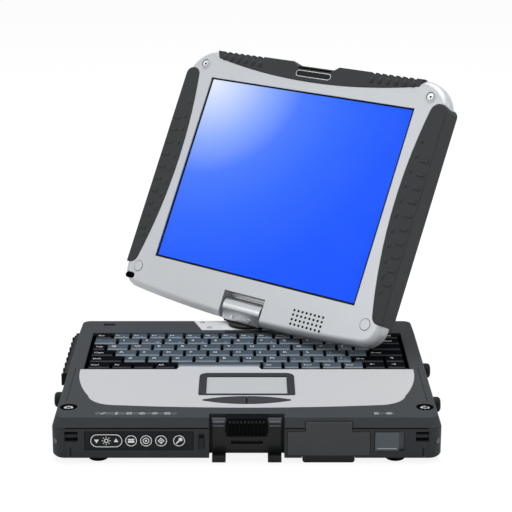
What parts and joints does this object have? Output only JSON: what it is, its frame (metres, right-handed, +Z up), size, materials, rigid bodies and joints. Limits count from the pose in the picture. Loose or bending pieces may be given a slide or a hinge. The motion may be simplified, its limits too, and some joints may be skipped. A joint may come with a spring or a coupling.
{
  "type": "convertible laptop computer",
  "caption": "Rugged convertible laptop with a dark base, silver palm rest and keyboard, and a gripped display that swivels and tilts on a central hinge to fold flat as a tablet.",
  "frame": {"origin": "middle of the base's footprint, on the desk plane under the feet", "axes": "+X to the user's right, +Y from the user to the rear of the base, +Z up from the desk"},
  "size_m": [0.3032, 0.3658, 0.234],
  "materials": {
    "dark_casing": "fine-textured dark grey paint on a cast light-alloy shell",
    "grey_casing": "smooth silver paint on a cast light-alloy shell",
    "brushed_panel": "brushed, satin lacquer",
    "grip_plastic": "soft-touch, lightly textured",
    "black_plastic": "matte, moulded",
    "key_plastic": "matte, printed legends",
    "button_plastic": "satin",
    "pad_plastic": "smooth satin film",
    "window_plastic": "tinted, smooth",
    "bright_steel": "satin",
    "hinge_metal": "satin, die-cast",
    "screw_steel": "bright",
    "board": "solder mask",
    "cooler": "bare",
    "drive_case": "bare",
    "socket_metal": "tinned",
    "foot_rubber": "matte",
    "battery_plastic": "fine texture",
    "cover_rubber": "matte",
    "screen": "liquid-crystal panel in a sheet-metal frame",
    "glass": "clear, smooth"
  },
  "bodies": {
    "base": {"bottom_case": "dark_casing", "top_cover": "dark_casing", "palm_rest": "brushed_panel", "keyboard_tray": "black_plastic", "touchpad_surround": "grip_plastic", "touchpad": "pad_plastic", "status_windows": "window_plastic", "deck_screws": "screw_steel", "front_button_panel": "black_plastic", "latch_block": "black_plastic", "latch_pin": "bright_steel", "swivel_plate": "hinge_metal", "motherboard": "board", "heat_spreader": "cooler", "memory_module": "board", "hard_drive": "drive_case", "port_connectors": "socket_metal", "feet": "foot_rubber", "memory_door": "black_plastic", "case_screws": "screw_steel"},
    "swivel": {"swivel_turret": "black_plastic", "swivel_shaft": "bright_steel", "hinge_barrel": "hinge_metal", "hinge_screws": "screw_steel", "tilt_shaft": "bright_steel"},
    "display": {"display_rear_cover": "grey_casing", "display_bezel": "grey_casing", "screen_panel": "screen", "touch_glass": "glass", "left_grip": "grip_plastic", "right_grip": "grip_plastic", "top_bumper": "grip_plastic", "display_screws": "screw_steel", "speaker": "black_plastic", "display_board": "board", "hinge_brackets": "bright_steel"},
    "battery": {"battery_pack": "battery_plastic", "battery_pull_tab": "black_plastic"},
    "key_row_1": {"key_row_1": "key_plastic"},
    "key_row_2": {"key_row_2": "key_plastic"},
    "key_row_3": {"key_row_3": "key_plastic"},
    "key_row_4": {"key_row_4": "key_plastic"},
    "key_row_5": {"key_row_5": "key_plastic"},
    "key_row_6": {"key_row_6": "key_plastic"},
    "space_bar": {"space_bar": "key_plastic"},
    "touchpad_button_left": {"touchpad_button_left": "button_plastic"},
    "touchpad_button_right": {"touchpad_button_right": "button_plastic"},
    "brightness_rocker": {"brightness_rocker": "button_plastic"},
    "front_button_1": {"front_button_1": "button_plastic"},
    "front_button_2": {"front_button_2": "button_plastic"},
    "front_button_3": {"front_button_3": "button_plastic"},
    "front_button_4": {"front_button_4": "button_plastic"},
    "slide_switch": {"slide_switch": "black_plastic"},
    "display_latch": {"display_latch": "black_plastic"},
    "battery_latch": {"battery_latch": "button_plastic"},
    "swivel_lock_bar": {"swivel_lock_bar": "black_plastic"},
    "left_ribbed_cover": {"left_ribbed_cover": "cover_rubber"},
    "left_jack_cover": {"left_jack_cover": "cover_rubber"},
    "right_card_cover": {"right_card_cover": "cover_rubber"},
    "right_jack_cover": {"right_jack_cover": "cover_rubber"}
  },
  "joints": [
    {"name": "swivel_turn", "type": "hinge", "parent": "base", "child": "swivel", "pos_m": [0, 0.098, 0.033], "axis": [0, 0, -1], "range_deg": [-41, 139]},
    {"name": "display_tilt", "type": "hinge", "parent": "swivel", "child": "display", "pos_m": [0, 0.098, 0.0445], "axis": [-0.7547, 0.6561, 0], "range_deg": [-117, 63]},
    {"name": "key_row_1_press", "type": "slide", "parent": "base", "child": "key_row_1", "axis": [0, 0, -1], "range_m": [0, 0.002], "stiffness_N_per_m": 1500},
    {"name": "key_row_2_press", "type": "slide", "parent": "base", "child": "key_row_2", "axis": [0, 0, -1], "range_m": [0, 0.002], "stiffness_N_per_m": 1500},
    {"name": "key_row_3_press", "type": "slide", "parent": "base", "child": "key_row_3", "axis": [0, 0, -1], "range_m": [0, 0.002], "stiffness_N_per_m": 1500},
    {"name": "key_row_4_press", "type": "slide", "parent": "base", "child": "key_row_4", "axis": [0, 0, -1], "range_m": [0, 0.002], "stiffness_N_per_m": 1500},
    {"name": "key_row_5_press", "type": "slide", "parent": "base", "child": "key_row_5", "axis": [0, 0, -1], "range_m": [0, 0.002], "stiffness_N_per_m": 1500},
    {"name": "key_row_6_press", "type": "slide", "parent": "base", "child": "key_row_6", "axis": [0, 0, -1], "range_m": [0, 0.002], "stiffness_N_per_m": 1500},
    {"name": "space_bar_press", "type": "slide", "parent": "base", "child": "space_bar", "axis": [0, 0, -1], "range_m": [0, 0.002], "stiffness_N_per_m": 400},
    {"name": "touchpad_button_left_press", "type": "slide", "parent": "base", "child": "touchpad_button_left", "axis": [0, 0, -1], "range_m": [0, 0.0008], "stiffness_N_per_m": 900},
    {"name": "touchpad_button_right_press", "type": "slide", "parent": "base", "child": "touchpad_button_right", "axis": [0, 0, -1], "range_m": [0, 0.0008], "stiffness_N_per_m": 900},
    {"name": "brightness_rock", "type": "hinge", "parent": "base", "child": "brightness_rocker", "pos_m": [-0.0975, -0.1043, 0.0168], "axis": [0, 0, 1], "range_deg": [-2.5, 2.5], "stiffness_Nm_per_rad": 0.3},
    {"name": "front_button_1_press", "type": "slide", "parent": "base", "child": "front_button_1", "axis": [0, 1, 0], "range_m": [0, 0.0008], "stiffness_N_per_m": 700},
    {"name": "front_button_2_press", "type": "slide", "parent": "base", "child": "front_button_2", "axis": [0, 1, 0], "range_m": [0, 0.0008], "stiffness_N_per_m": 700},
    {"name": "front_button_3_press", "type": "slide", "parent": "base", "child": "front_button_3", "axis": [0, 1, 0], "range_m": [0, 0.0008], "stiffness_N_per_m": 700},
    {"name": "front_button_4_press", "type": "slide", "parent": "base", "child": "front_button_4", "axis": [0, 1, 0], "range_m": [0, 0.0008], "stiffness_N_per_m": 700},
    {"name": "slide_switch_push", "type": "slide", "parent": "base", "child": "slide_switch", "axis": [0, 0, 1], "range_m": [0, 0.003], "stiffness_N_per_m": 400},
    {"name": "latch_swing", "type": "hinge", "parent": "base", "child": "display_latch", "pos_m": [0, -0.1065, 0.03], "axis": [-1, 0, 0], "range_deg": [0, 180]},
    {"name": "battery_slide", "type": "slide", "parent": "base", "child": "battery", "axis": [0, -1, 0], "range_m": [0, 0.15]},
    {"name": "battery_latch_slide", "type": "slide", "parent": "base", "child": "battery_latch", "axis": [1, 0, 0], "range_m": [0, 0.003], "stiffness_N_per_m": 400},
    {"name": "swivel_lock_slide", "type": "slide", "parent": "base", "child": "swivel_lock_bar", "axis": [1, 0, 0], "range_m": [0, 0.004], "stiffness_N_per_m": 300},
    {"name": "left_ribbed_cover_open", "type": "hinge", "parent": "base", "child": "left_ribbed_cover", "pos_m": [-0.13415, 0.052, 0.01135], "axis": [0, -1, 0], "range_deg": [0, 90]},
    {"name": "left_jack_cover_open", "type": "hinge", "parent": "base", "child": "left_jack_cover", "pos_m": [-0.13415, -0.036, 0.01135], "axis": [0, -1, 0], "range_deg": [0, 90]},
    {"name": "right_card_cover_open", "type": "hinge", "parent": "base", "child": "right_card_cover", "pos_m": [0.13415, -0.046, 0.01135], "axis": [0, 1, 0], "range_deg": [0, 90]},
    {"name": "right_jack_cover_open", "type": "hinge", "parent": "base", "child": "right_jack_cover", "pos_m": [0.13415, 0.026, 0.01135], "axis": [0, 1, 0], "range_deg": [0, 90]}
  ]
}
